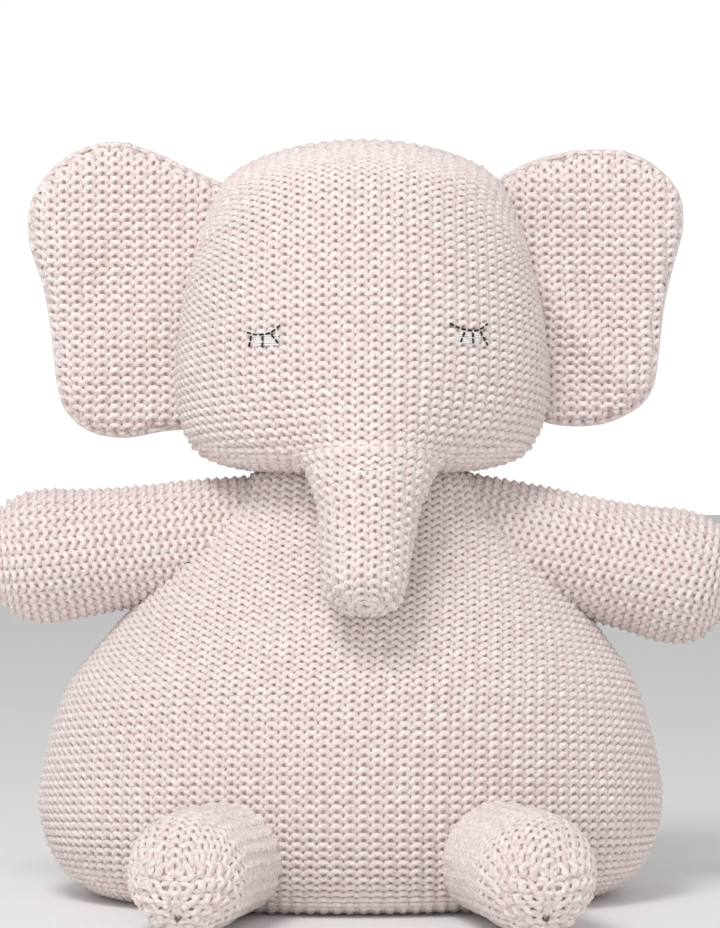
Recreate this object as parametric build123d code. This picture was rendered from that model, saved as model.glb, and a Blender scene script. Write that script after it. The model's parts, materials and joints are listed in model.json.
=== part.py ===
from build123d import *
import math
import os

# A sitting knitted toy elephant, in millimetres.
# X runs across the shoulders, -Y is the way the face looks, +Z is up.
# The origin is the centre of the flat patch that the toy sits on. "left" is the side at -X.
#
# Every part is a knitted cover around a core of fibre filling. The two halves of the body and of the
# head are separate panels, sewn along the sides. The limbs, ears, trunk and tail are stuffed apart and
# sewn on: each has a round root, which turns in a round seat of the part that carries it.

# --- driving dimensions -------------------------------------------------------------------------
FABRIC = 3.0            # thickness of the knitted covers
SEAT_GAP = 0.4          # free space round every root that turns

BODY_RADIUS = 107.5     # widest point of the belly, seen from the front
BODY_WIDEST_Z = 36.0
BODY_TOP_Z = 148.5      # neck end of the body cover
BODY_DEPTH_RATIO = 0.78
BASE_RADIUS = 75.0      # flat patch under the belly
BASE_PANEL_RADIUS = 60.0    # oval panel sewn into the middle of that patch
SEAM_GAP = 0.2          # free space round that panel
NECK_RADIUS = 34.0
NECK_PLUG_RADIUS = 22.0
NECK_PLUG_TOP_Z = 166.0
NECK_SOCKET_RADIUS = 24.5   # wide enough for the plug to turn in, head and body being oval

HEAD_RADIUS = 64.0      # widest at the cheeks
HEAD_WIDEST_Z = 184.0
HEAD_BOTTOM_Z = 149.5
HEAD_TOP_Z = 264.0
HEAD_DEPTH_RATIO = 0.92

TRUNK_ROOT = (0.0, -48.0, 160.0)
TRUNK_TIP_DIRECTION = (0.0, -0.52, -0.85)
TRUNK_ROOT_RADIUS = 20.0
TRUNK_LENGTH = 72.0
TRUNK_TIP_RADIUS = 14.0
TRUNK_WAIST_ANGLE = 52.0

EAR_THICKNESS = 11.0
EAR_PLANE_Y = 8.0
EAR_HINGE_TOP = (52.0, 246.0)       # X and Z of the sewn edge of the right ear
EAR_HINGE_BOTTOM = (63.0, 168.0)
EAR_WIDTH = 61.0                    # from the top of the sewn edge to the outermost point
EAR_ROOT_END_RADIUS = 5.6
EAR_ROOT_MIDDLE_RADIUS = 10.0
EAR_EDGE_ROUNDING = 4.0

ARM_ROOT_X = 58.0
ARM_ROOT_Z = 122.0
ARM_ROOT_RADIUS = 20.5
ARM_RADIUS = 21.5
ARM_LENGTH = 69.0
ARM_DROOP = {"left": 6.0, "right": 12.0}    # degrees below level
ARM_WAIST_ANGLE = 30.0  # half-angle of the cone that the sewn end of the arm stays in

LEG_ROOT_X = 45.0
LEG_ROOT_Y = -73.0
LEG_ROOT_Z = 20.5
LEG_ROOT_RADIUS = 18.5
LEG_RADIUS = 19.5
LEG_LENGTH = 64.0
LEG_SPLAY = 14.0        # degrees outwards from straight ahead
LEG_WAIST_ANGLE = 42.0

TAIL_ROOT_Y = 84.5
TAIL_ROOT_Z = 44.0
TAIL_ROOT_RADIUS = 6.0
TAIL_RADIUS = 5.0
TAIL_LENGTH = 38.0
TAIL_DROP = 48.0        # degrees below level
TAIL_WAIST_ANGLE = 42.0

EYE_X = 33.5
EYE_Z = 197.0
EYE_WIDTH = 12.5
LASH_LENGTH = 4.0
STITCH_WIDTH = 1.4
STITCH_HEIGHT = 1.2


# --- the two round bodies of the toy ---------------------------------------------------------------
def half_turn(outline, core, depth_ratio, back):
    """Half a hollow body turned about Z from (radius, height) points, then flattened front to back.

    outline is the outside and core the inside, both from bottom to top. A core that starts and ends
    on the axis gives a filled half.
    """
    with BuildPart() as solid:
        with BuildSketch(Plane.XZ):
            with BuildLine():
                Spline(*outline)
                Polyline(outline[-1], *core[::-1], outline[0])
            make_face()
        revolve(axis=Axis.Z, revolution_arc=180)
    return scale(Rot(0, 0, 0 if back else 180) * solid.part, by=(1, depth_ratio, 1))


def half_shell(outline, lining, depth_ratio, back, opening):
    """Half of the cover between two (radius, height) outlines, with an opening of that radius underneath."""
    with BuildPart() as solid:
        with BuildSketch(Plane.XZ):
            with BuildLine():
                Spline(*outline)
                Line(outline[-1], lining[-1])
                Spline(*lining)
                Polyline(lining[0], (opening, lining[0][1]), (opening, outline[0][1]), outline[0])
            make_face()
        revolve(axis=Axis.Z, revolution_arc=180)
    return scale(Rot(0, 0, 0 if back else 180) * solid.part, by=(1, depth_ratio, 1))


def body_outline(inset=0.0):
    return [
        (BASE_RADIUS - inset, inset),
        (0.91 * BODY_RADIUS - inset, 12.0),
        (BODY_RADIUS - inset, BODY_WIDEST_Z),
        (0.94 * BODY_RADIUS - inset, 68.0),
        (0.70 * BODY_RADIUS - inset, 102.0),
        (0.47 * BODY_RADIUS - inset, 129.0),
        (NECK_RADIUS - inset, BODY_TOP_Z),
    ]


def head_outline(inset=0.0):
    return [
        (0.62 * HEAD_RADIUS - inset, HEAD_BOTTOM_Z + 0.6 * inset),
        (0.88 * HEAD_RADIUS - inset, 156.0 + 0.7 * inset),
        (HEAD_RADIUS - inset, HEAD_WIDEST_Z),
        (0.92 * HEAD_RADIUS - inset, 216.0),
        (0.76 * HEAD_RADIUS - inset, 246.0 - 0.3 * inset),
        (0.45 * HEAD_RADIUS - 0.6 * inset, 259.0 - 0.8 * inset),
        (3.0, HEAD_TOP_Z - inset),
    ]


def body_layers(back):
    """Half of the body's cover, and half of its filling with the plug that fills the neck."""
    lining = body_outline(FABRIC)
    plug = [(0, lining[0][1]), (0, NECK_PLUG_TOP_Z), (NECK_PLUG_RADIUS, NECK_PLUG_TOP_Z),
            (NECK_PLUG_RADIUS, BODY_TOP_Z)]
    cover = half_shell(body_outline(), lining, BODY_DEPTH_RATIO, back, BASE_PANEL_RADIUS)
    return cover, half_turn(lining, plug, BODY_DEPTH_RATIO, back)


def base_panel():
    """The oval panel sewn in underneath, inside the rims of the two body panels."""
    radius = BASE_PANEL_RADIUS - SEAM_GAP
    return extrude(Ellipse(radius, radius * BODY_DEPTH_RATIO), FABRIC)


def head_layers(back):
    """Half of the head's cover, and half of its filling with the socket for the neck plug."""
    lining = head_outline(FABRIC)
    socket_top = NECK_PLUG_TOP_Z + SEAT_GAP
    socket = [(NECK_SOCKET_RADIUS, lining[0][1]), (NECK_SOCKET_RADIUS, socket_top), (0, socket_top),
              (0, lining[-1][1])]
    cover = half_shell(head_outline(), lining, HEAD_DEPTH_RATIO, back, NECK_SOCKET_RADIUS)
    return cover, half_turn(lining, socket, HEAD_DEPTH_RATIO, back)


# --- limbs: a round root and a stuffed tube ---------------------------------------------------------
def limb_solid(root_radius, waist_angle, tube, length, inset=0.0):
    """A limb along +Z from its root ball at the origin.

    tube is a list of (distance, radius) points. The sewn end stays inside a cone about the root's
    centre, so that the limb can swing without meeting what carries it.
    """
    waist = math.radians(waist_angle)
    start = (root_radius * math.sin(waist) - 0.7 * inset, root_radius * math.cos(waist) - 0.7 * inset)
    outline = [start] + [(radius - inset, distance) for distance, radius in tube]
    with BuildPart() as limb:
        with BuildSketch(Plane.XZ):
            with BuildLine():
                Line((0, start[1]), start)
                tube_end = Spline(*outline) % 1
                tip = (0, length - inset)
                Spline(outline[-1], tip, tangents=((tube_end.X, tube_end.Y), (-1, 0)))
                Line(tip, (0, start[1]))
            make_face()
        revolve(axis=Axis.Z)
    return limb.part + Sphere(root_radius - inset)


def stuffed_limb(root_radius, waist_angle, tube, length):
    """The knitted cover, open at its sewn end, and the filling inside it."""
    outer = limb_solid(root_radius, waist_angle, tube, length)
    filling = limb_solid(root_radius, waist_angle, tube, length, FABRIC)
    reach = 2 * length
    beyond_root = Pos(0, 0, reach / 2) * Box(reach, reach, reach)
    cover = (outer - filling) & beyond_root
    return cover, filling


def aimed(origin, direction):
    """Places a limb's root at origin, with its tube along direction."""
    x_dir = (1, 0, 0) if abs(direction[0]) < 0.5 else (0, 1, 0)
    return Plane(origin=origin, x_dir=x_dir, z_dir=direction)


def place(plane, *solids):
    return [plane.location * solid for solid in solids]


def seat(centre, radius):
    return Pos(*centre) * Sphere(radius + SEAT_GAP)


# --- ears: a padded leaf with a rolled root ---------------------------------------------------------
def ear_frame():
    """The plane of the right ear, with the lower end of its sewn edge as origin and X along that edge."""
    rise = Vector(EAR_HINGE_TOP[0] - EAR_HINGE_BOTTOM[0], 0, EAR_HINGE_TOP[1] - EAR_HINGE_BOTTOM[1])
    origin = (EAR_HINGE_BOTTOM[0], EAR_PLANE_Y, EAR_HINGE_BOTTOM[1])
    return Plane(origin=origin, x_dir=rise.normalized(), z_dir=(0, 1, 0)), rise.length


def ear_root(grow=0.0):
    """The roll along the sewn edge, thickest at its middle."""
    frame, length = ear_frame()
    end, middle = EAR_ROOT_END_RADIUS + grow, EAR_ROOT_MIDDLE_RADIUS + grow
    with BuildPart() as roll:
        with BuildSketch(Plane.XY):
            with BuildLine():
                Line((-grow, 0), (-grow, end))
                ThreePointArc((-grow, end), (length / 2, middle), (length + grow, end))
                Line((length + grow, end), (length + grow, 0))
                Line((length + grow, 0), (-grow, 0))
            make_face()
        revolve(axis=Axis.X)
    return frame.location * roll.part


def ear_leaf(inset=0.0):
    """The flat leaf of the right ear."""
    top_x, top_z = EAR_HINGE_TOP
    low_x, low_z = EAR_HINGE_BOTTOM
    edge = [
        (top_x + 2 + inset, top_z - inset),
        (top_x + 0.30 * EAR_WIDTH, top_z + 11 - inset),
        (top_x + 0.62 * EAR_WIDTH, top_z + 14 - inset),
        (top_x + 0.89 * EAR_WIDTH - 0.6 * inset, top_z + 5 - 0.6 * inset),
        (top_x + EAR_WIDTH - inset, top_z - 11),
        (top_x + 0.91 * EAR_WIDTH - inset, top_z - 34),
        (top_x + 0.86 * EAR_WIDTH - inset, top_z - 56),
        (top_x + 0.79 * EAR_WIDTH - 0.8 * inset, top_z - 74 + 0.6 * inset),
        (top_x + 0.55 * EAR_WIDTH, low_z - 4 + inset),
        (low_x + 8, low_z - 3 + inset),
        (low_x + 2 + inset, low_z + inset),
    ]
    half = EAR_THICKNESS / 2 - inset
    with BuildPart() as leaf:
        with BuildSketch(Plane.XZ.offset(-EAR_PLANE_Y)):
            with BuildLine():
                Spline(*edge)
                Line(edge[-1], edge[0])
            make_face()
        extrude(amount=half, both=True)
        if inset == 0:
            rim = leaf.faces().filter_by(Axis.Y).edges().filter_by(GeomType.BSPLINE)
            fillet(rim, EAR_EDGE_ROUNDING)
    return leaf.part


def ear_solids():
    outer = ear_leaf() + ear_root()
    padding = ear_leaf(FABRIC) + ear_root(-FABRIC)
    cover = outer - padding
    reach = 400
    front_half = Pos(0, EAR_PLANE_Y - reach / 2, HEAD_TOP_Z - reach / 4) * Box(reach, reach, reach)
    return cover & front_half, cover - front_half, padding


# --- eyes: lid line and lashes in thread --------------------------------------------------------------
def eye_stitches():
    """The right eye: a sagging lid line with three lashes, as thread lying on the face."""
    sag = 2.4
    ends = [(-EYE_WIDTH / 2, sag), (-EYE_WIDTH / 4, 0.5), (EYE_WIDTH / 8, 0), (EYE_WIDTH / 2, 1.7)]
    strokes = list(zip(ends, ends[1:]))
    for foot, lean in ((-0.2, -1.0), (0.1, 0.2), (0.35, 2.0)):
        top = (foot * EYE_WIDTH, 0.2)
        strokes.append((top, (top[0] + lean, top[1] - LASH_LENGTH)))
    with BuildSketch(Plane.XZ) as thread:
        with Locations((EYE_X, EYE_Z)):
            for start, end in strokes:
                with Locations(((start[0] + end[0]) / 2, (start[1] + end[1]) / 2)):
                    run = math.dist(start, end)
                    turn = math.degrees(math.atan2(end[1] - start[1], end[0] - start[0]))
                    SlotCenterToCenter(run, STITCH_WIDTH, rotation=turn)
    return extrude(thread.sketch, amount=HEAD_RADIUS)


# --- assembly -------------------------------------------------------------------------------------------
def mirrored(solid):
    return mirror(solid, about=Plane.YZ)


def carved(solid, seats):
    for space in seats:
        solid -= space
    return solid


parts = {}

arm_tube = [(34, ARM_RADIUS - 1.5), (47, ARM_RADIUS), (ARM_LENGTH - 12, ARM_RADIUS - 3.5)]
arm = stuffed_limb(ARM_ROOT_RADIUS, ARM_WAIST_ANGLE, arm_tube, ARM_LENGTH)
for side, outwards in (("left", -1), ("right", 1)):
    droop = math.radians(ARM_DROOP[side])
    shoulder = (outwards * ARM_ROOT_X, 0, ARM_ROOT_Z)
    arm_plane = aimed(shoulder, (outwards * math.cos(droop), 0, -math.sin(droop)))
    parts[f"arm_{side}_cover"], parts[f"arm_{side}_filling"] = place(arm_plane, *arm)

splay = math.radians(LEG_SPLAY)
leg_plane = aimed((LEG_ROOT_X, LEG_ROOT_Y, LEG_ROOT_Z), (math.sin(splay), -math.cos(splay), 0))
leg_tube = [(27, LEG_RADIUS - 2), (42, LEG_RADIUS), (LEG_LENGTH - 10, LEG_RADIUS - 3)]
leg = place(leg_plane, *stuffed_limb(LEG_ROOT_RADIUS, LEG_WAIST_ANGLE, leg_tube, LEG_LENGTH))

drop = math.radians(TAIL_DROP)
tail_plane = aimed((0, TAIL_ROOT_Y, TAIL_ROOT_Z), (0, math.cos(drop), -math.sin(drop)))
tail_tube = [(9, TAIL_RADIUS), (22, TAIL_RADIUS - 0.6), (TAIL_LENGTH - 4, TAIL_RADIUS - 0.8)]
tail = tail_plane.location * limb_solid(TAIL_ROOT_RADIUS, TAIL_WAIST_ANGLE, tail_tube, TAIL_LENGTH)

trunk_plane = aimed(TRUNK_ROOT, TRUNK_TIP_DIRECTION)
trunk_tube = [
    (26, TRUNK_TIP_RADIUS + 2.6),
    (42, TRUNK_TIP_RADIUS + 0.9),
    (TRUNK_LENGTH - 11, TRUNK_TIP_RADIUS - 0.6),
]
trunk = stuffed_limb(TRUNK_ROOT_RADIUS, TRUNK_WAIST_ANGLE, trunk_tube, TRUNK_LENGTH)
parts["trunk_cover"], parts["trunk_filling"] = place(trunk_plane, *trunk)

body_seats = [seat((0, TAIL_ROOT_Y, TAIL_ROOT_Z), TAIL_ROOT_RADIUS)]
for side in (-1, 1):
    body_seats.append(seat((side * ARM_ROOT_X, 0, ARM_ROOT_Z), ARM_ROOT_RADIUS))
    body_seats.append(seat((side * LEG_ROOT_X, LEG_ROOT_Y, LEG_ROOT_Z), LEG_ROOT_RADIUS))
head_seats = [ear_root(SEAT_GAP), mirrored(ear_root(SEAT_GAP)), seat(TRUNK_ROOT, TRUNK_ROOT_RADIUS)]
for name, layers, seats in (("body", body_layers, body_seats), ("head", head_layers, head_seats)):
    front_cover, front_filling = [carved(layer, seats) for layer in layers(False)]
    back_cover, back_filling = [carved(layer, seats) for layer in layers(True)]
    parts[name + "_front_panel"] = front_cover
    parts[name + "_back_panel"] = back_cover
    parts[name + "_filling"] = front_filling + back_filling
parts["body_base_panel"] = base_panel()
face = half_shell(head_outline(-STITCH_HEIGHT), head_outline(), HEAD_DEPTH_RATIO, False, NECK_SOCKET_RADIUS)
eye = face & eye_stitches()

ear = dict(zip(("front_panel", "back_panel", "padding"), ear_solids()))
paired = {"leg_cover": leg[0], "leg_filling": leg[1], "eye": eye}
for layer, solid in ear.items():
    paired["ear_" + layer] = solid
for name, solid in paired.items():
    what, _, layer = name.partition("_")
    layer = layer or "stitching"
    parts[f"{what}_right_{layer}"] = solid
    parts[f"{what}_left_{layer}"] = mirrored(solid)
parts["tail_cover"] = tail

os.makedirs("parts", exist_ok=True)
for name, solid in parts.items():
    export_step(solid, f"parts/{name}.step")
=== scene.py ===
import json
import math

import bpy
import numpy as np
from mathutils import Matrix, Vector


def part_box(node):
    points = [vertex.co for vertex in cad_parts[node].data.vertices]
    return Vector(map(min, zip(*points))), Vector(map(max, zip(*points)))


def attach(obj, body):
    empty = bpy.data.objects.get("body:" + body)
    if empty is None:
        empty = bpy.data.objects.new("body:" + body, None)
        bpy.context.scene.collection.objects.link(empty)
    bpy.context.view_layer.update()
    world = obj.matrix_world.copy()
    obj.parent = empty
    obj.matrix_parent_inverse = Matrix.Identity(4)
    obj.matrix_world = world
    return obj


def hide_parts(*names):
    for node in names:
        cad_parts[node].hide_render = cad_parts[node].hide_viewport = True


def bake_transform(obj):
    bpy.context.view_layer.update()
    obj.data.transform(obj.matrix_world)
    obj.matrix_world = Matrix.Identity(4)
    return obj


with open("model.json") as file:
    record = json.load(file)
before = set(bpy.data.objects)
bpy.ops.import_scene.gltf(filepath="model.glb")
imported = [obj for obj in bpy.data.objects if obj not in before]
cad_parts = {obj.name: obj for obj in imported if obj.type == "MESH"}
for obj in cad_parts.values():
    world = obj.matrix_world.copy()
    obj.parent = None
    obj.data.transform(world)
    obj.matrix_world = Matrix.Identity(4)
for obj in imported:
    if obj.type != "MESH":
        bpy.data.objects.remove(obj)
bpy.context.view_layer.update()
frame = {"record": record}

# A sitting knitted toy elephant. Its covers are modelled stitch by stitch: every course of the purl-side
# knit is one run of yarn, bent into loops and laid over the shape of the part that it covers.
# Lengths here are in millimetres, in the frame of the CAD model, until a mesh is made.
MM = 0.001
STITCH = 4.5            # width of one stitch
COURSE = 3.15           # height of one course
YARN_RADIUS = 1.1
LOOP_HEIGHT = 2.3       # half the height of a loop
HEAD_WIDENING = 0.15    # how far the legs stand away from the middle of a loop's head
LEG_LEAN = 0.7          # how far they come together again at its foot
HEAD_RELIEF = 0.3       # how much further out the heads lie than the feet
LEG_RELIEF = 0.6        # how far the legs dip under heads and feet
BOUND_OFF = 0.25        # how far a bound-off loop reaches past its row, as a share of a course
REACH = 1.4 * COURSE    # the furthest that a row looks for the row beside it
SAMPLES = 10            # points along the yarn in one stitch
SIDES = 5               # corners of the yarn's section
LINING_DEPTH = 0.45     # the felted inner side of the knit, between the strands; its darker colour is painted shade
SAME_LENGTH = 60.0      # rows that differ by less are lined from end to end
FILLING_DEPTH = 3.6     # the surface of the filling, under the outside of the cover
LINING_STEP = 4.0       # length of one face of the lining and of the filling
ROW_POINTS = 121        # points on a row of the head, the body or a limb
ROW_MIDDLE = ROW_POINTS // 2
HALF_PI = math.pi / 2
FRONT = np.array([0.0, -1.0, 0.0])
RIGHT = np.array([1.0, 0.0, 0.0])
UP = np.array([0.0, 0.0, 1.0])


def box_mm(node):
    low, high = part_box(node)
    return np.array(low) / MM, np.array(high) / MM


def joint_place(name):
    joints = {entry["name"]: entry for entry in frame["record"]["behaviour"]["joints"]}
    return np.array(joints[name]["pos_m"]) / MM


def unit(v):
    v = np.asarray(v, float)
    return v / np.linalg.norm(v, axis=-1, keepdims=True)


def smooth_line(points, steps=24):
    """A Catmull-Rom curve through the points."""
    points = np.asarray(points, float)
    padded = np.vstack([2 * points[0] - points[1], points, 2 * points[-1] - points[-2]])
    t = np.linspace(0, 1, steps, endpoint=False)[:, None]
    out = []
    for a, b, c, d in zip(padded, padded[1:], padded[2:], padded[3:]):
        out.append(0.5 * (2 * b + (c - a) * t + (2 * a - 5 * b + 4 * c - d) * t ** 2
                          + (3 * b - a - 3 * c + d) * t ** 3))
    return np.vstack(out + [points[-1:]])


def lengths(line):
    return np.concatenate([[0], np.cumsum(np.linalg.norm(np.diff(line, axis=0), axis=1))])


def even(line, spacing):
    """Points along a line at an even spacing, ends included."""
    run = lengths(line)
    count = max(2, int(round(run[-1] / spacing)) + 1)
    at = np.linspace(0, run[-1], count)
    return np.stack([np.interp(at, run, line[:, i]) for i in range(line.shape[1])], axis=1)


# --- courses: one row of stitches each -------------------------------------------------------------
class Course:
    """One row, as a curve on the surface measured outwards from its middle stitch."""

    def __init__(self, points, normals, middle, keep=None):
        run = lengths(points)
        self.run = run - run[middle]
        self.points = points
        self.normals = unit(normals)
        self.keep = np.ones(len(points), bool) if keep is None else keep

    def at(self, s):
        point = np.stack([np.interp(s, self.run, self.points[:, i]) for i in range(3)], axis=-1)
        normal = np.stack([np.interp(s, self.run, self.normals[:, i]) for i in range(3)], axis=-1)
        return point, unit(normal)

    def spans(self):
        """The stretches of the row that are knitted, as pairs of run lengths."""
        edges = np.flatnonzero(np.diff(np.concatenate([[0], self.keep.astype(int), [0]])))
        return [(self.run[a], self.run[b - 1]) for a, b in zip(edges[::2], edges[1::2]) if b - a > 2]


def way_to(here, other, opposite, past_end):
    """The step from a row to the one beside it, or away from the opposite one where that row has ended."""
    way = other - here
    size = np.linalg.norm(way, axis=1, keepdims=True)
    way = np.where(size > REACH, past_end * (here - opposite), way)
    size = np.linalg.norm(way, axis=1, keepdims=True)
    return way * np.minimum(1, REACH / np.maximum(size, 0.001))


def yarn_lines(courses, rows, bound_off=False):
    """The centre line of the yarn for each knitted span of the chosen courses, with surface normals.

    Bound off, the loops of the first and last rows stay short where no row follows.
    """
    lines = []
    for index in rows:
        course = courses[index]
        below = courses[min(index + 1, len(courses) - 1)]
        above = courses[max(index - 1, 0)]
        for start, end in course.spans():
            count = int(round((end - start) / STITCH * SAMPLES))
            if count < SAMPLES:
                continue
            s = np.linspace(start, end, count)
            t = 2 * np.pi * s / STITCH
            along = np.clip(s + HEAD_WIDENING * np.sin(t) + LEG_LEAN * np.sin(2 * t), start, end)
            rise = LOOP_HEIGHT * np.cos(t) / COURSE
            if bound_off and index == 0:
                rise = np.minimum(rise, BOUND_OFF)
            if bound_off and index == len(courses) - 1:
                rise = np.maximum(rise, -BOUND_OFF)
            here, normal = course.at(along)
            up, up_normal = above.at(along)
            down, down_normal = below.at(along)
            if index == 0:
                up = 2 * here - down
            if index == len(courses) - 1:
                down = 2 * here - up
            rising = (rise > 0)[:, None]
            share = np.abs(rise)[:, None]
            past_end = BOUND_OFF if bound_off else 1.0
            way = np.where(rising, way_to(here, up, down, past_end), way_to(here, down, up, past_end))
            point = here + way * share
            normal = unit(normal + (np.where(rising, up_normal, down_normal) - normal) * share)
            relief = HEAD_RELIEF * np.cos(t) + LEG_RELIEF * np.cos(2 * t)
            lines.append((point + normal * relief[:, None], normal))
    return lines


def tubes(lines, radius=YARN_RADIUS, sides=SIDES):
    """Vertices, quads and corner coordinates (along, round) of round tubes along centre lines."""
    vertices, faces, corners = [], [], []
    base = 0
    angle = np.linspace(0, 2 * np.pi, sides, endpoint=False)
    for point, normal in lines:
        tangent = unit(np.gradient(point, axis=0))
        up = unit(normal - tangent * np.sum(normal * tangent, axis=1, keepdims=True))
        side = np.cross(tangent, up)
        ring = up[:, None, :] * np.cos(angle)[None, :, None]
        ring = ring + side[:, None, :] * np.sin(angle)[None, :, None]
        vertices.append((point[:, None, :] + radius * ring).reshape(-1, 3))
        count = len(point)
        start = base + np.arange(count - 1)[:, None] * sides
        corner = np.arange(sides)[None, :]
        first = start + corner
        turned = start + (corner + 1) % sides
        quads = np.stack([first, first + sides, turned + sides, turned], axis=-1)
        faces.append(quads.reshape(-1, 4))
        run = lengths(point)
        along = run[:-1, None, None] + np.zeros((1, sides, 4))
        along += np.array([0, 1, 1, 0]) * np.diff(run)[:, None, None]
        turn = (corner[:, :, None] + np.array([0, 0, 1, 1])) / sides + np.zeros((count - 1, 1, 1))
        corners.append(np.stack([along, turn], axis=-1).reshape(-1, 2))
        base += count * sides
    return np.vstack(vertices), np.vstack(faces), np.vstack(corners)


def lining(courses, depth=LINING_DEPTH):
    """An inner skin just under the yarn, as a strip between each pair of courses."""
    vertices, faces = [], []
    base = 0
    hair = 0.01
    for upper, lower in zip(courses, courses[1:]):
        for start, end in upper.spans():
            count = max(3, int((end - start) / LINING_STEP) + 1)
            s_up = np.linspace(start, end, count)
            s_low = np.clip(s_up, lower.run[0], lower.run[-1])
            whole = start <= upper.run[0] + hair and end >= upper.run[-1] - hair
            if whole and abs(np.ptp(upper.run) - np.ptp(lower.run)) < SAME_LENGTH:
                s_low = np.linspace(lower.run[0], lower.run[-1], count)
            a, na = upper.at(s_up)
            b, nb = lower.at(s_low)
            vertices += [a - na * depth, b - nb * depth]
            i = base + np.arange(count - 1)
            faces.append(np.stack([i, i + 1, i + count + 1, i + count], axis=-1))
            base += 2 * count
    faces = np.vstack(faces)
    return np.vstack(vertices), faces, np.zeros((faces.size, 2))


def make_mesh(name, groups):
    """One object from (vertices, quads, corner coordinates, material) groups; lengths in millimetres."""
    vertices = np.vstack([g[0] for g in groups]) * MM
    offset = 0
    quads, slots = [], []
    for index, (v, f, _, _) in enumerate(groups):
        quads.append(f + offset)
        slots.append(np.full(len(f), index, np.int32))
        offset += len(v)
    quads = np.vstack(quads).astype(np.int32)
    slots = np.concatenate(slots)
    mesh = bpy.data.meshes.new(name)
    mesh.vertices.add(len(vertices))
    mesh.vertices.foreach_set("co", vertices.ravel())
    mesh.loops.add(quads.size)
    mesh.loops.foreach_set("vertex_index", quads.ravel())
    mesh.polygons.add(len(quads))
    mesh.polygons.foreach_set("loop_start", np.arange(0, quads.size, 4, dtype=np.int32))
    mesh.polygons.foreach_set("material_index", slots)
    for group in groups:
        mesh.materials.append(group[3])
    strand = mesh.uv_layers.new(name="strand")
    strand.uv.foreach_set("vector", np.vstack([g[2] for g in groups]).astype(np.float32).ravel())
    mesh.update(calc_edges=True)
    mesh.validate()
    mesh.shade_smooth()
    obj = bpy.data.objects.new(name, mesh)
    bpy.context.scene.collection.objects.link(obj)
    return obj


def fasten(obj, body, joined_to):
    """Let a piece ride on one body, or, when it is joined to another, leave it unattached with its
    transform baked into its mesh.
    """
    if joined_to:
        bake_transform(obj)
    else:
        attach(obj, body)


def knit(name, courses, body, stands_for, joined_to=None, rows=None, edging=(),
         bound_off=False):
    """A knitted piece: yarn over a lining, riding on one body, or left in place with its transform baked
    when joined to another.
    """
    rows = rows or range(len(courses))
    lined = courses[rows.start:rows.stop + 1]
    yarn = tubes(yarn_lines(courses, rows, bound_off) + list(edging))
    # the lining is the real back of the knit, but its darker colour is painted shade in the gaps between
    # strands
    obj = make_mesh(name, [(*yarn, yarn_material), (*lining(lined), lining_painted_shade_material)])
    fasten(obj, body, joined_to)
    if stands_for:
        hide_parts(stands_for)


def filling(node, layers, body, joined_to=None):
    """The filling under one or more sets of courses."""
    skins = [(*lining(courses, FILLING_DEPTH), filling_material) for courses in layers]
    obj = make_mesh(node + "_fibre", skins)
    fasten(obj, body, joined_to)
    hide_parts(node)


# --- the shapes under the knit ---------------------------------------------------------------------
HEAD_PROFILE = [     # radius and height, from the crown down to the neck
    (0.1, 262.8), (15, 261.6), (30, 258.0), (42, 252.6), (49, 245.6), (54.8, 231), (59, 216), (62, 202),
    (63.8, 186), (63.2, 172), (60.5, 161.5), (54, 154.6), (44, 151.2), (34, 150.0), (26, 149.6),
]
HEAD_DEPTH = 0.92
HEAD_CENTRE = np.array([0.0, 0.0, 205.0])
CROWN_DROP = 9.0        # how far below the crown the first row of the head reaches at its ends
NAPE_TILT = 0.7         # how far the rows behind tilt, as a share of the rows in front
FACE_END = 158.0        # height at which the full rows of the face end
CHIN_START = 156.5      # the rows under the cheeks
CHIN_END = 149.8
NAPE_END = 150.6
BODY_PROFILE = [     # from the neck down, and inwards under the base
    (27, 151), (33, 149), (37, 146), (42, 141.5), (58.5, 122), (75, 103), (89, 86), (97.5, 74), (103.5, 58),
    (107.4, 40), (107.2, 27), (102, 13), (92, 4.2), (78, 1.4), (66, 1.2), (58, 1.2),
]
BODY_DEPTH = 0.78
BODY_LEAN = -4.0        # how far the belly lies to the left of the neck
BODY_DROOP = 14.0       # how far the rows of the body sag towards the sides
UPPER_ROWS = 32         # the body's cover is made in an upper and a lower piece
TRUNK_LENGTH = 63.0
TRUNK_RADII = [(0, 19.2), (13, 17.4), (25, 16.2), (45, 13.8), (58, 12.9), (65, 12.4)]
TRUNK_WAY = [-0.055, -0.52, -0.852]
TRUNK_SHIFT = 3.6       # how far the trunk is sewn to the right of its joint
TRUNK_START = -14.0     # where the trunk begins inside the head
TRUNK_TURN = 9          # rows that it takes to turn square to the trunk
TRUNK_REACH = 27.0      # nothing further from the trunk's middle line is part of its rows
TRUNK_CAP = 8.5         # length of its rounded end
FACE_BLEND = 13.0       # width of the soft corner between face and trunk


class Turned:
    """A solid turned about Z and flattened front to back, leaning sideways by lean at its widest."""

    def __init__(self, profile, depth, lean=0.0):
        self.line = smooth_line(profile)
        self.depth = depth
        self.lean = lean
        order = np.argsort(self.line[:, 1], kind="stable")
        self.z, self.r = self.line[order, 1], self.line[order, 0]
        slope = np.gradient(self.r, np.maximum.accumulate(self.z + np.arange(len(self.z)) * 1e-6))
        self.shrink = 1 / np.sqrt(1 + np.clip(slope, -8, 8) ** 2)

    def shift(self, z):
        """Where the middle of the solid lies in X, at height z."""
        return self.lean * np.interp(z, [45, 70, 100, 140], [1, 0.85, 0.4, 0])

    def field(self, p):
        """Roughly the distance outside the solid."""
        across = np.hypot(p[:, 0] - self.shift(p[:, 2]), p[:, 1] / self.depth)
        z = p[:, 2]
        wall = (across - np.interp(z, self.z, self.r)) * np.interp(z, self.z, self.shrink)
        return np.maximum(wall, np.maximum(z - self.z[-1], self.z[0] - z))


head = Turned(HEAD_PROFILE, HEAD_DEPTH)
torso = Turned(BODY_PROFILE, BODY_DEPTH, BODY_LEAN)

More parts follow.
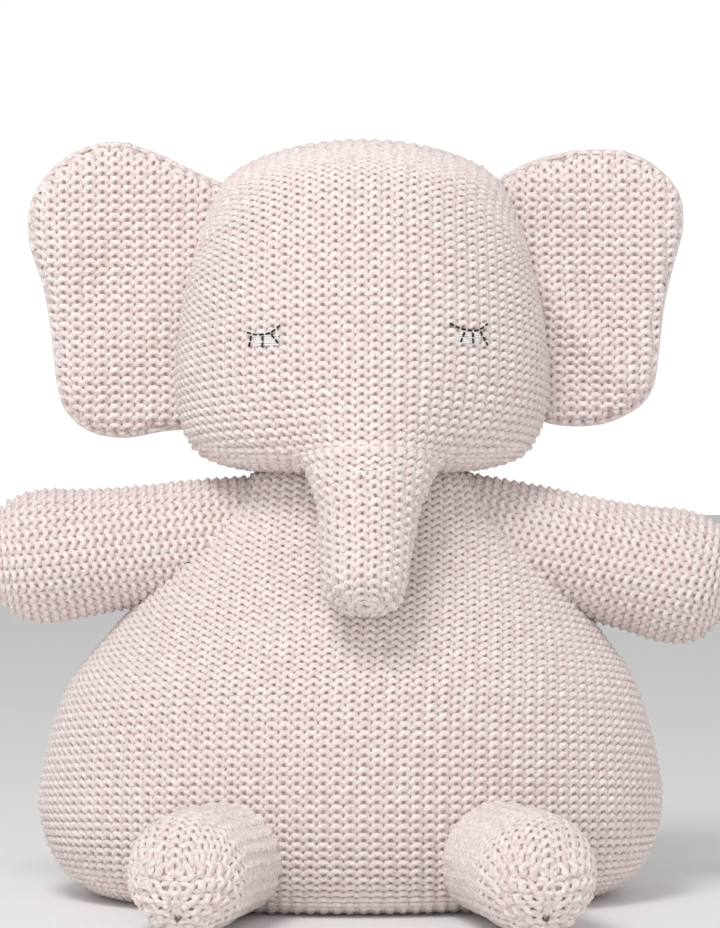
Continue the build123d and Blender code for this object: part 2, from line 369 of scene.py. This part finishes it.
trunk_down = unit(TRUNK_WAY)
trunk_root = joint_place("trunk_lift") + TRUNK_SHIFT * RIGHT
trunk_radii = np.array(TRUNK_RADII, float)


def trunk_field(p):
    along = (p - trunk_root) @ trunk_down
    across = np.linalg.norm(p - trunk_root - along[:, None] * trunk_down, axis=1)
    past_start = np.maximum(TRUNK_START - along, 0)
    past_end = np.maximum(along - (TRUNK_LENGTH - TRUNK_CAP), 0) * trunk_radii[-1, 1] / TRUNK_CAP
    radius = np.interp(along, trunk_radii[:, 0], trunk_radii[:, 1])
    return np.hypot(across, past_start + past_end) - radius


def face_field(p):
    """Head and trunk, melted together where they meet."""
    a, b = head.field(p), trunk_field(p)
    mix = np.clip(0.5 + 0.5 * (b - a) / FACE_BLEND, 0, 1)
    return b + (a - b) * mix - FACE_BLEND * mix * (1 - mix)


def steepest(field, p):
    step = 0.4
    grad = np.stack([field(p + d) - field(p - d) for d in step * np.eye(3)], axis=1)
    return unit(grad + 1e-9)


def cast(origin, directions, field, reach=140.0):
    """Where rays from inside first leave the shape."""
    origin = np.broadcast_to(origin, directions.shape)
    low = np.zeros(len(directions))
    high = np.full(len(directions), np.nan)
    for t in np.arange(1.5, reach, 1.5):
        out = np.isnan(high) & (field(origin + directions * t) > 0)
        high[out] = t
        low[np.isnan(high)] = t
        if not np.isnan(high).any():
            break
    high = np.where(np.isnan(high), reach, high)
    for _ in range(14):
        middle = (low + high) / 2
        outside = field(origin + directions * middle[:, None]) > 0
        high = np.where(outside, middle, high)
        low = np.where(outside, low, middle)
    return origin + directions * high[:, None]


def slice_course(origin, ahead, across, field, half_turn, keep=None):
    """A course where a plane cuts a shape, by rays from origin within half_turn of ahead.

    The middle stitch is the one in front that is nearest to X = 0.
    """
    angles = np.linspace(-half_turn, half_turn, ROW_POINTS)[:, None]
    rays = np.sin(angles) * np.asarray(across) + np.cos(angles) * np.asarray(ahead)
    points = cast(origin, rays, field)
    kept = None if keep is None else keep(points)
    facing = np.abs(angles[:, 0]) < HALF_PI
    middle = int(np.argmin(np.where(facing, np.abs(points[:, 0]), np.inf)))
    return Course(points, steepest(field, points), middle, kept)


# --- courses of each part --------------------------------------------------------------------------
def tilt_at(z):
    """How far the plane of a head course leans back, in radians: the courses droop towards the ears."""
    return np.radians(np.interp(z, [158, 175, 200, 230, 245, 255, 264], [4.5, 7.5, 11, 18, 26, 36, 50]))


def head_courses(facing, field, lowest):
    """Courses of one side of the head, from the crown down. facing is -1 in front and 1 behind."""
    steps = np.radians(np.linspace(90, -75, 400))
    rays = np.stack([0 * steps, facing * np.cos(steps), np.sin(steps)], axis=1)
    middle = cast(HEAD_CENTRE, rays, field)
    middle = middle[middle[:, 2] > lowest]
    courses = []
    for point in even(middle, COURSE):
        tilt = tilt_at(point[2]) * (1 if facing < 0 else NAPE_TILT)
        back = np.array([0.0, -facing * math.cos(tilt), -math.sin(tilt)])
        origin = point + back * abs(point[1]) / math.cos(tilt)
        ahead = -back
        if not courses:
            # the first row of each side runs beside the seam over the crown
            origin = point + np.array([0, facing * COURSE / 2, -CROWN_DROP])
            ahead = UP
        courses.append(slice_course(origin, ahead, RIGHT, field, HALF_PI))
    return courses


def beside_trunk(p):
    return trunk_field(p) > 0.5


def chin_courses():
    """Courses under the cheeks, from the last full course of the face to the neck, without the trunk."""
    line = even(head.line[head.line[:, 1] < CHIN_START], COURSE)
    heights = [z for _, z in line if z > CHIN_END]
    return [slice_course(z * UP, FRONT, RIGHT, head.field, HALF_PI, beside_trunk) for z in heights]


def trunk_courses(start):
    """Courses from the bridge of the nose down to the trunk's tip, turning square to the trunk."""
    front = unit(np.cross(np.cross(trunk_down, FRONT), trunk_down))
    last = TRUNK_LENGTH - TRUNK_CAP
    starts = trunk_root + np.linspace(0, last, 60)[:, None] * trunk_down
    tube = cast(starts, np.broadcast_to(front, starts.shape), face_field)
    turns = np.linspace(0, HALF_PI * 0.99, 40)[1:, None]
    cap = cast(starts[-1], np.cos(turns) * front + np.sin(turns) * trunk_down, face_field)
    line = np.vstack([tube, cap])
    line = line[line[:, 2] < start[2]]
    line = even(np.vstack([start, line]), COURSE)[1:]
    first_tilt = tilt_at(FACE_END)
    full_tilt = -math.atan2(-front[2], -front[1])
    courses = []
    for index, point in enumerate(line):
        tilt = first_tilt + (full_tilt - first_tilt) * min(1, (index + 1) / TRUNK_TURN)
        back = np.array([0.0, math.cos(tilt), -math.sin(tilt)])
        square = np.cross(RIGHT, back)
        reach = ((point - trunk_root) @ square) / (trunk_down @ square)
        origin = trunk_root + trunk_down * min(reach, TRUNK_LENGTH - 0.05)

        def on_trunk(p, centre=origin):
            return (np.linalg.norm(p - centre, axis=1) < TRUNK_REACH) & (head.field(p) > -0.5)

        courses.append(slice_course(origin, -back, RIGHT, face_field, math.pi, on_trunk))
    return courses


def torso_courses(facing):
    """Courses of the front (-1) or back (1) of the body, from the neck down and under the base."""
    line = torso.line
    run = lengths(line)
    total = run[-1]
    angles = np.linspace(-HALF_PI, HALF_PI, ROW_POINTS)
    slope = np.gradient(line, run, axis=0)
    courses = []
    for middle in np.linspace(0, total, int(round(total / COURSE)) + 1):
        droop = BODY_DROOP * np.interp(middle, [0, 25, 70, 130, 190, 230], [0.15, 0.7, 1, 0.75, 0, 0])
        here = np.clip(middle + droop * (1 - np.cos(angles)), 0, total)
        r = np.interp(here, run, line[:, 0])
        z = np.interp(here, run, line[:, 1])
        x = r * np.sin(angles) + torso.shift(z)
        y = facing * BODY_DEPTH * r * np.cos(angles)
        dr, dz = np.interp(here, run, slope[:, 0]), np.interp(here, run, slope[:, 1])
        normals = np.stack([-dz * np.sin(angles), -dz * facing * np.cos(angles) / BODY_DEPTH, dr], axis=1)
        courses.append(Course(np.stack([x, y, z], axis=1), normals, ROW_MIDDLE))
    return courses


def base_courses():
    """Straight courses of the oval panel under the body."""
    low, high = box_mm("body_base_panel")
    half_x, half_y = (high[:2] - low[:2]) / 2
    courses = []
    height = BODY_PROFILE[-1][1] + 0.2
    for y in np.arange(half_y - 1, 1 - half_y, -COURSE):
        reach = half_x * math.sqrt(1 - (y / half_y) ** 2)
        x = np.linspace(-reach, reach, ROW_POINTS) + BODY_LEAN
        points = np.stack([x, np.full(ROW_POINTS, y), np.full(ROW_POINTS, height)], axis=1)
        courses.append(Course(points, np.tile(-UP, (ROW_POINTS, 1)), ROW_MIDDLE))
    return courses


def tube_courses(root, direction, profile, front, keep=None):
    """Rings round a limb. profile gives (distance, radius) from the root to the closed tip."""
    direction = unit(direction)
    ahead = unit(front - direction * (front @ direction))
    across = np.cross(direction, ahead)
    line = even(smooth_line(profile), COURSE)
    slope = np.gradient(line, axis=0)
    angles = np.linspace(-math.pi, math.pi, ROW_POINTS)
    outwards = np.cos(angles)[:, None] * ahead + np.sin(angles)[:, None] * across
    courses = []
    for (distance, radius), (rise, spread) in zip(line, slope):
        points = root + distance * direction + radius * outwards
        normals = outwards * rise - direction * spread
        kept = None if keep is None else keep(points)
        courses.append(Course(points, normals, ROW_MIDDLE, kept))
    return courses


# the edge of each ear, from the top of its sewn edge round to the bottom: (outwards, height)
EAR_OUTLINES = {
    -1: [(48, 247), (59.5, 252), (72, 258), (86, 262), (98, 259.5), (108.5, 252), (114.8, 241),
         (114.9, 228), (110.5, 214), (107.8, 199.5), (105.6, 180), (102.8, 170.5),
         (95.5, 163.8), (84, 161.4), (70, 163.6), (59, 164.5)],
    1: [(46, 247.5), (54, 252.5), (65, 257), (80, 259.3), (93, 258.3), (103, 253), (109.8, 244.5),
        (110.8, 233), (107.5, 220), (104.4, 206), (102.6, 190), (100.6, 178), (95, 171),
        (84, 166.2), (71, 165.6), (60, 168)],
}
EAR_HALF = 5.6          # half the thickness of an ear
EAR_ROUNDING = 11.0     # how far in from its edge an ear is rounded
EAR_PLANE = 8.0         # how far behind the middle of the head the ears lie
EAR_TURN = 3.0          # how far in from the edge the yarn begins to face outwards
EAR_WAVE = 1.3          # height of the uneven puffing of the ears
CREASE_PLACE = (83, 200)        # the slanting crease of the right ear: (outwards, height)
CREASE_REACH = 30.0     # half its length
CREASE_HIGH, CREASE_LOW = 3.2, 2.0      # its ridge, and the hollow beside it
EAR_INNER = 46.0        # where the rows of an ear start, inside the head
EAR_MIDDLE = 82.0       # where their stitches line up
EAR_LEAN = -2.5         # how far back the outer edge leans; a negative lean is forward
EDGE_ROWS = (0.9, 1.1)  # how far the first and last rows lie from the top and bottom of an ear
EDGE_OUT, EDGE_SWING = 0.5, 0.9         # the strand round an ear: how far it stands out and zigzags

# limbs: (distance, radius) from the joint to the tip
ARM_PROFILE = [(-26, 19.0), (0, 19.8), (20, 19.8), (38, 20.6), (52, 22.2), (61, 20.5), (67, 15.5), (70, 9),
               (71, 0.6)]
ARM_DROOP = {"left": 6.0, "right": 12.0}        # degrees below level
ARM_RAISE = {"left": 2.0, "right": 0.5}         # how far above its joint an arm is sewn on
LEG_PROFILE = [(-14, 17.5), (0, 18), (18, 18), (36, 18.8), (50, 18.8), (58, 16.5), (63, 12), (65.5, 6),
               (66, 0.6)]
LEG_SPLAY = 14.0        # degrees outwards
TAIL_PROFILE = [(-4, 4.6), (8, 4.6), (20, 4.2), (30, 4.4), (35, 4.0), (38, 0.5)]
TAIL_DROP = 48.0        # degrees below level
ROOT_DEPTH = 2.2        # how far the rows of a limb go on inside the body


def ear_lean(x):
    return EAR_LEAN * np.clip((x - 60) / 50, 0, 1) ** 2


def ear_crease(x, z):
    middle_x, middle_z = CREASE_PLACE
    away = (x - middle_x) * 0.72 - (middle_z - z) * 0.55 + 6
    length = np.clip(1 - np.abs(middle_z - z - 2) / CREASE_REACH, 0, 1)
    ridge = CREASE_HIGH * np.exp(-(away / 5.5) ** 2)
    hollow = CREASE_LOW * np.exp(-((away - 9) / 5) ** 2)
    return (ridge - hollow) * length


def ear_shape(side, x, z):
    """Half the thickness of an ear and how far behind its plane its middle lies."""
    outline = smooth_line(EAR_OUTLINES[side])
    gap = np.min(np.hypot(x[:, None] - outline[None, :, 0], z[:, None] - outline[None, :, 1]), axis=1)
    edge = 1 - np.clip(gap / EAR_ROUNDING, 0, 1)
    half = EAR_HALF * np.sqrt(np.clip(1 - edge ** 2, 0, 1))
    puff = EAR_WAVE * np.sin(x * 0.11 + z * 0.05) * np.sin(z * 0.075 + 1) * (1 - edge)
    if side > 0:
        puff = puff + ear_crease(x, z)
    return half, ear_lean(x) - puff * np.clip(gap / 8, 0, 1)


def ear_surface(side, facing, x, z):
    half, back = ear_shape(side, x, z)
    return np.stack([side * x, EAR_PLANE + back + facing * half, z], axis=1)


def ear_span(outline, height):
    """Where an ear begins and ends at one height, outwards from the middle of the head."""
    crossings = []
    for (xa, za), (xb, zb) in zip(outline, outline[1:]):
        if (za - height) * (zb - height) < 0:
            crossings.append(xa + (xb - xa) * (height - za) / (zb - za))
    if len(crossings) < 2:
        crossings.append(EAR_INNER)
    return min(crossings), max(crossings)


def ear_courses(side, facing):
    """Level courses over the front (-1) or back (1) of one ear."""
    outline = smooth_line(EAR_OUTLINES[side])
    top, bottom = outline[:, 1].max() - EDGE_ROWS[0], outline[:, 1].min() + EDGE_ROWS[1]
    step = 0.5
    courses = []
    for height in np.linspace(top, bottom, int(round((top - bottom) / COURSE)) + 1):
        inner, outer = ear_span(outline, height)
        x = inner + (outer - inner) * np.sin(np.linspace(0, HALF_PI, 90))
        z = np.full_like(x, height)
        points = ear_surface(side, facing, x, z)
        along = ear_surface(side, facing, x + step, z) - ear_surface(side, facing, x - step, z)
        upwards = ear_surface(side, facing, x, z + step) - ear_surface(side, facing, x, z - step)
        normals = unit(-side * facing * np.cross(along, upwards))
        edge = np.clip(1 - (outer - x) / EAR_TURN, 0, 1)[:, None]
        normals = normals * (1 - edge) + side * RIGHT * edge
        middle = int(np.argmin(np.abs(x - EAR_MIDDLE)))
        if side < 0:
            points, normals, middle = points[::-1], normals[::-1], len(points) - 1 - middle
        courses.append(Course(points, normals, middle))
    return courses


def ear_edging(side):
    """The seam that joins the two panels of an ear, a strand that zigzags round its edge."""
    line = even(smooth_line(EAR_OUTLINES[side]), STITCH / SAMPLES)
    tangent = unit(np.gradient(line, axis=0))
    outwards = np.stack([-tangent[:, 1], tangent[:, 0]], axis=1)
    x, z = (line + EDGE_OUT * outwards).T
    t = 2 * np.pi * np.arange(len(line)) / SAMPLES
    y = EAR_PLANE + ear_lean(line[:, 0]) + EDGE_SWING * np.sin(t)
    normals = np.stack([side * outwards[:, 0], 0 * t, outwards[:, 1]], axis=1)
    return [(np.stack([side * x, y, z], axis=1), normals)]


# --- materials --------------------------------------------------------------------------------------
TONE_SCALE = 420.0      # size of the shades in the fibre, as a frequency per metre
FUZZ_SCALE = 2600.0
FUZZ_HEIGHT = 0.00025
PLIES = 3.0
PLY_TURNS = 0.34        # turns of the plies in one millimetre of yarn
PLY_HEIGHT = 0.0006


def node_material(name, roughness, sheen=0.0):
    material = bpy.data.materials.new(name)
    material.use_nodes = True
    shader = material.node_tree.nodes["Principled BSDF"]
    shader.inputs["Roughness"].default_value = roughness
    shader.inputs["Sheen Weight"].default_value = sheen
    shader.inputs["Sheen Roughness"].default_value = 0.5
    shader.inputs["Specular IOR Level"].default_value = 0.2
    return material, shader


def noise(tree, place, scale, detail):
    texture = tree.nodes.new("ShaderNodeTexNoise")
    texture.inputs["Scale"].default_value = scale
    texture.inputs["Detail"].default_value = detail
    tree.links.new(place, texture.inputs["Vector"])
    return texture.outputs["Fac"]


def bump(tree, height, strength, distance):
    node = tree.nodes.new("ShaderNodeBump")
    node.inputs["Strength"].default_value = strength
    node.inputs["Distance"].default_value = distance
    tree.links.new(height, node.inputs["Height"])
    return node


def arithmetic(tree, operation, first, second, third=None):
    """A sum on one output: second is a value, and third an output to add."""
    node = tree.nodes.new("ShaderNodeMath")
    node.operation = operation
    node.inputs[1].default_value = second
    tree.links.new(first, node.inputs[0])
    if third is not None:
        tree.links.new(third, node.inputs[2])
    return node.outputs["Value"]


def twisted(tree):
    """The height of plies that wind round the strand, from its length and its round coordinate."""
    strand = tree.nodes.new("ShaderNodeUVMap")
    strand.uv_map = "strand"
    split = tree.nodes.new("ShaderNodeSeparateXYZ")
    tree.links.new(strand.outputs["UV"], split.inputs["Vector"])
    along = arithmetic(tree, "MULTIPLY", split.outputs["X"], PLY_TURNS)
    wound = arithmetic(tree, "MULTIPLY_ADD", split.outputs["Y"], PLIES, along)
    return arithmetic(tree, "PINGPONG", wound, 0.5)


def fibre_material(name, dark, light, fleck, roughness=0.9, sheen=0.25, twist=True):
    """Spun yarn: two blended shades with paler flecks, and plies that wind round the strand."""
    material, shader = node_material(name, roughness, sheen)
    tree = material.node_tree
    place = tree.nodes.new("ShaderNodeTexCoord").outputs["Object"]
    shades = tree.nodes.new("ShaderNodeValToRGB")
    shades.color_ramp.elements.new(0.70)
    for stop, position, colour in zip(shades.color_ramp.elements, (0.36, 0.56, 0.70), (dark, light, fleck)):
        stop.position = position
        stop.color = (*colour, 1)
    tree.links.new(noise(tree, place, TONE_SCALE, 3.0), shades.inputs["Fac"])
    tree.links.new(shades.outputs["Color"], shader.inputs["Base Color"])
    relief = bump(tree, noise(tree, place, FUZZ_SCALE, 4.0), 0.45, FUZZ_HEIGHT)
    if twist:
        fuzz = relief
        relief = bump(tree, twisted(tree), 0.5, PLY_HEIGHT)
        tree.links.new(fuzz.outputs["Normal"], relief.inputs["Normal"])
    tree.links.new(relief.outputs["Normal"], shader.inputs["Normal"])
    return material


yarn_material = fibre_material(
    "pink_yarn", (0.82, 0.69, 0.66), (0.88, 0.785, 0.76), (0.915, 0.86, 0.845))
# the lining's colours are darker than the yarn's: painted shade for the gaps between the strands, over the
# real back of the knit
lining_painted_shade_material = fibre_material(
    "inner_yarn_painted_shade", (0.66, 0.50, 0.47), (0.73, 0.58, 0.55), (0.78, 0.64, 0.61), twist=False)
filling_material = fibre_material(
    "fibre_filling", (0.80, 0.78, 0.75), (0.88, 0.86, 0.84), (0.93, 0.92, 0.91), twist=False)
thread_material = fibre_material(
    "charcoal_thread", (0.012, 0.012, 0.014), (0.022, 0.022, 0.026), (0.05, 0.05, 0.056),
    roughness=0.6, sheen=0.1)
backing_material = fibre_material(
    "pale_thread", (0.86, 0.80, 0.79), (0.93, 0.90, 0.895), (0.96, 0.95, 0.95))


# --- the toy ---------------------------------------------------------------------------------------
def place_head():
    face = head_courses(-1, face_field, FACE_END)
    nape = head_courses(1, head.field, NAPE_END)
    chin = chin_courses()
    knit("knit_face", face, "head", "head_front_panel")
    knit("knit_head_back", nape, "head", "head_back_panel")
    knit("knit_chin", chin, "head", None)
    filling("head_filling", [face, nape, chin], "head")
    return face[-1]


def place_trunk(last_of_face):
    """The trunk goes on from the last full row of the face."""
    rows = [last_of_face] + trunk_courses(last_of_face.points[ROW_MIDDLE])
    knit("knit_trunk", rows, "trunk", "trunk_cover", "head", range(1, len(rows)))
    filling("trunk_filling", [rows], "trunk", "head")


def place_body():
    sides = {"front": torso_courses(-1), "back": torso_courses(1)}
    for word, rows in sides.items():
        panel = f"body_{word}_panel"
        knit(f"knit_body_{word}_upper", rows, "body", panel, rows=range(0, UPPER_ROWS))
        knit(f"knit_body_{word}_lower", rows, "body", panel, rows=range(UPPER_ROWS, len(rows)))
    base = base_courses()
    knit("knit_base", base, "body", "body_base_panel")
    filling("body_filling", [*sides.values(), base], "body")


def outside_body(p):
    return torso.field(p) > -ROOT_DEPTH


def place_limb(kind, side_name, root, way, profile, front):
    body = f"{kind}_{side_name}"
    rows = tube_courses(root, way, profile, front, outside_body)
    knit(f"knit_{body}", rows, body, f"{body}_cover", "body")
    filling(f"{body}_filling", [rows], body, "body")


def place_arm(side, name):
    root = joint_place(f"arm_{name}_swing") + ARM_RAISE[name] * UP
    droop = math.radians(ARM_DROOP[name])
    way = np.array([side * math.cos(droop), 0, -math.sin(droop)])
    place_limb("arm", name, root, way, ARM_PROFILE, FRONT)


def place_leg(side, name):
    root = joint_place(f"leg_{name}_lift")
    splay = math.radians(LEG_SPLAY)
    way = np.array([side * math.sin(splay), -math.cos(splay), 0])
    place_limb("leg", name, root, way, LEG_PROFILE, UP)


def place_ear(side, name):
    body = f"ear_{name}"
    front, back = ear_courses(side, -1), ear_courses(side, 1)
    for word, rows, edging in (("front", front, ear_edging(side)), ("back", back, ())):
        knit(f"knit_{body}_{word}", rows, body, f"{body}_{word}_panel", "head",
             edging=edging, bound_off=True)
    filling(f"{body}_padding", [front, back], body, "head")


def place_tail():
    root = joint_place("tail_lift")
    drop = math.radians(TAIL_DROP)
    way = np.array([0, math.cos(drop), -math.sin(drop)])
    rows = tube_courses(root, way, TAIL_PROFILE, -FRONT, lambda p: torso.field(p) > 0)
    knit("knit_tail", rows, "tail", "tail_cover", "body")


place_trunk(place_head())
place_body()
for side, name in ((-1, "left"), (1, "right")):
    place_arm(side, name)
    place_leg(side, name)
    place_ear(side, name)
place_tail()


# --- eyes: sewn lines of short dark stitches over a few pale ones ----------------------------------
def on_face(x, z, lift):
    origin = np.array([x, 0.0, z])
    point = cast(origin, FRONT[None, :], face_field)
    normal = steepest(face_field, point)
    return (point + normal * lift)[0], normal[0]


def stitched(path, lift, stitch, gap):
    """Short straight stitches along a path of (X, Z) points on the face."""
    line = smooth_line([(x, 0, z) for x, z in path], 8)
    run = lengths(line)
    lines = []
    start = 0.0
    while start < run[-1] - SHORTEST_STITCH:
        end = min(start + stitch, run[-1])
        s = np.linspace(start, end, STITCH_POINTS)
        hump = np.sin(np.linspace(0, math.pi, STITCH_POINTS)) * STITCH_HUMP - STITCH_SINK
        spots = [on_face(x, z, lift + h)
                 for x, z, h in zip(np.interp(s, run, line[:, 0]), np.interp(s, run, line[:, 2]), hump)]
        lines.append((np.array([point for point, _ in spots]), np.array([normal for _, normal in spots])))
        start = end + gap
    return lines


SHORTEST_STITCH = 0.3
STITCH_POINTS = 7
STITCH_HUMP, STITCH_SINK = 0.35, 0.25   # a stitch rises in its middle and sinks in at its ends
DARK_STITCH, DARK_LIFT, DARK_RADIUS = 1.3, 1.75, 0.38
LID_GAP, LASH_GAP = 0.85, 0.8
PALE_STITCH, PALE_LIFT, PALE_RADIUS = 3.0, 1.35, 0.36
PALE_GAP, PALE_STEP, PALE_RISE = 0.1, 0.75, 0.4
PALE_THREADS = 5
PALE_HEIGHT = {"left": 195.9, "right": 196.8}
# the closed lid and its lashes as sewn on the face, (X, Z)
EYES = {
    "left": ([(-38.3, 197.2), (-34.8, 196.4), (-31.0, 196.9), (-28.6, 198.4), (-26.6, 200.2)],
             [[(-36.9, 195.8), (-37.7, 192.0)], [(-33.0, 195.8), (-33.1, 191.6)],
              [(-30.0, 196.4), (-27.6, 193.4)]]),
    "right": ([(29.2, 200.2), (32.6, 198.6), (36.0, 197.9), (38.8, 198.0), (41.8, 200.0)],
              [[(34.0, 197.2), (32.6, 193.6)], [(36.8, 197.0), (37.0, 193.2)],
               [(39.4, 197.4), (41.8, 192.9)]]),
}
for name, (lid, lashes) in EYES.items():
    dark = stitched(lid, DARK_LIFT, DARK_STITCH, LID_GAP)
    for lash in lashes:
        dark += stitched(lash, DARK_LIFT, DARK_STITCH, LASH_GAP)
    pale = []
    first_x, last_x = lid[1][0] - 1.5, lid[-2][0] + 0.8
    for index in range(PALE_THREADS):
        z = PALE_HEIGHT[name] - index * PALE_STEP
        pale += stitched([(first_x, z), (last_x, z + PALE_RISE)], PALE_LIFT, PALE_STITCH, PALE_GAP)
    threads = [(*tubes(dark, DARK_RADIUS, 6), thread_material),
               (*tubes(pale, PALE_RADIUS, 6), backing_material)]
    eye = make_mesh(f"eye_{name}", threads)
    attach(eye, "head")
    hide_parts(f"eye_{name}_stitching")


# --- floor, light and camera -----------------------------------------------------------------------
FLOOR_SIZE = 6.0
FLOOR_COLOUR = (0.93, 0.93, 0.93)
WORLD_STRENGTH = 1.02
WHITE = (1, 1, 1, 1)
CEILING = (0.4, 0.4, 0.4, 1)
SKY_WHITE_TO, SKY_DIM_FROM = 0.25, 0.5  # upward part of the direction: white below, dimmer above
LOOK_AT = Vector((0, 0, 0.15))

bpy.ops.mesh.primitive_plane_add(size=FLOOR_SIZE, location=(0, 0, 0))
floor = bpy.context.object
floor.name = "floor"
floor_material, floor_shader = node_material("pale_floor", 0.7)
floor_shader.inputs["Base Color"].default_value = (*FLOOR_COLOUR, 1)
floor.data.materials.append(floor_material)

scene = bpy.context.scene
scene.world = bpy.data.worlds.new("studio")
scene.world.use_nodes = True
world_nodes, world_links = scene.world.node_tree.nodes, scene.world.node_tree.links
direction = world_nodes.new("ShaderNodeTexCoord")
height = world_nodes.new("ShaderNodeSeparateXYZ")
sky = world_nodes.new("ShaderNodeValToRGB")
sky.color_ramp.elements[0].position = SKY_WHITE_TO
sky.color_ramp.elements[0].color = WHITE
sky.color_ramp.elements[1].position = SKY_DIM_FROM
sky.color_ramp.elements[1].color = CEILING
world_links.new(direction.outputs["Generated"], height.inputs["Vector"])
world_links.new(height.outputs["Z"], sky.inputs["Fac"])
world_links.new(sky.outputs["Color"], world_nodes["Background"].inputs["Color"])
world_nodes["Background"].inputs["Strength"].default_value = WORLD_STRENGTH
scene.view_settings.view_transform = "Standard"


def soft_light(name, place, size, power):
    light = bpy.data.lights.new(name, "AREA")
    light.shape = "DISK"
    light.size = size
    light.energy = power
    lamp = bpy.data.objects.new(name, light)
    lamp.location = place
    lamp.rotation_euler = (LOOK_AT - Vector(place)).to_track_quat("-Z", "Y").to_euler()
    scene.collection.objects.link(lamp)


soft_light("key", (-0.35, -0.9, 1.35), 0.6, 11.0)
soft_light("front", (-0.1, -2.1, 0.4), 0.8, 5.0)

CAMERA_DISTANCE = 1.9
CAMERA_RISE = math.radians(2.0)
VIEW_HEIGHT = 0.3248    # what the picture takes in from top to bottom, at the toy
SENSOR_HEIGHT = 24.0
aim = Vector((-0.0007, 0, 0.15085))
camera_data = bpy.data.cameras.new("camera")
camera = bpy.data.objects.new("camera", camera_data)
scene.collection.objects.link(camera)
camera.location = aim + CAMERA_DISTANCE * Vector((0, -math.cos(CAMERA_RISE), math.sin(CAMERA_RISE)))
camera.rotation_euler = (aim - camera.location).to_track_quat("-Z", "Y").to_euler()
camera_data.sensor_fit = "VERTICAL"
camera_data.sensor_height = SENSOR_HEIGHT
camera_data.lens = SENSOR_HEIGHT * CAMERA_DISTANCE / VIEW_HEIGHT
scene.camera = camera
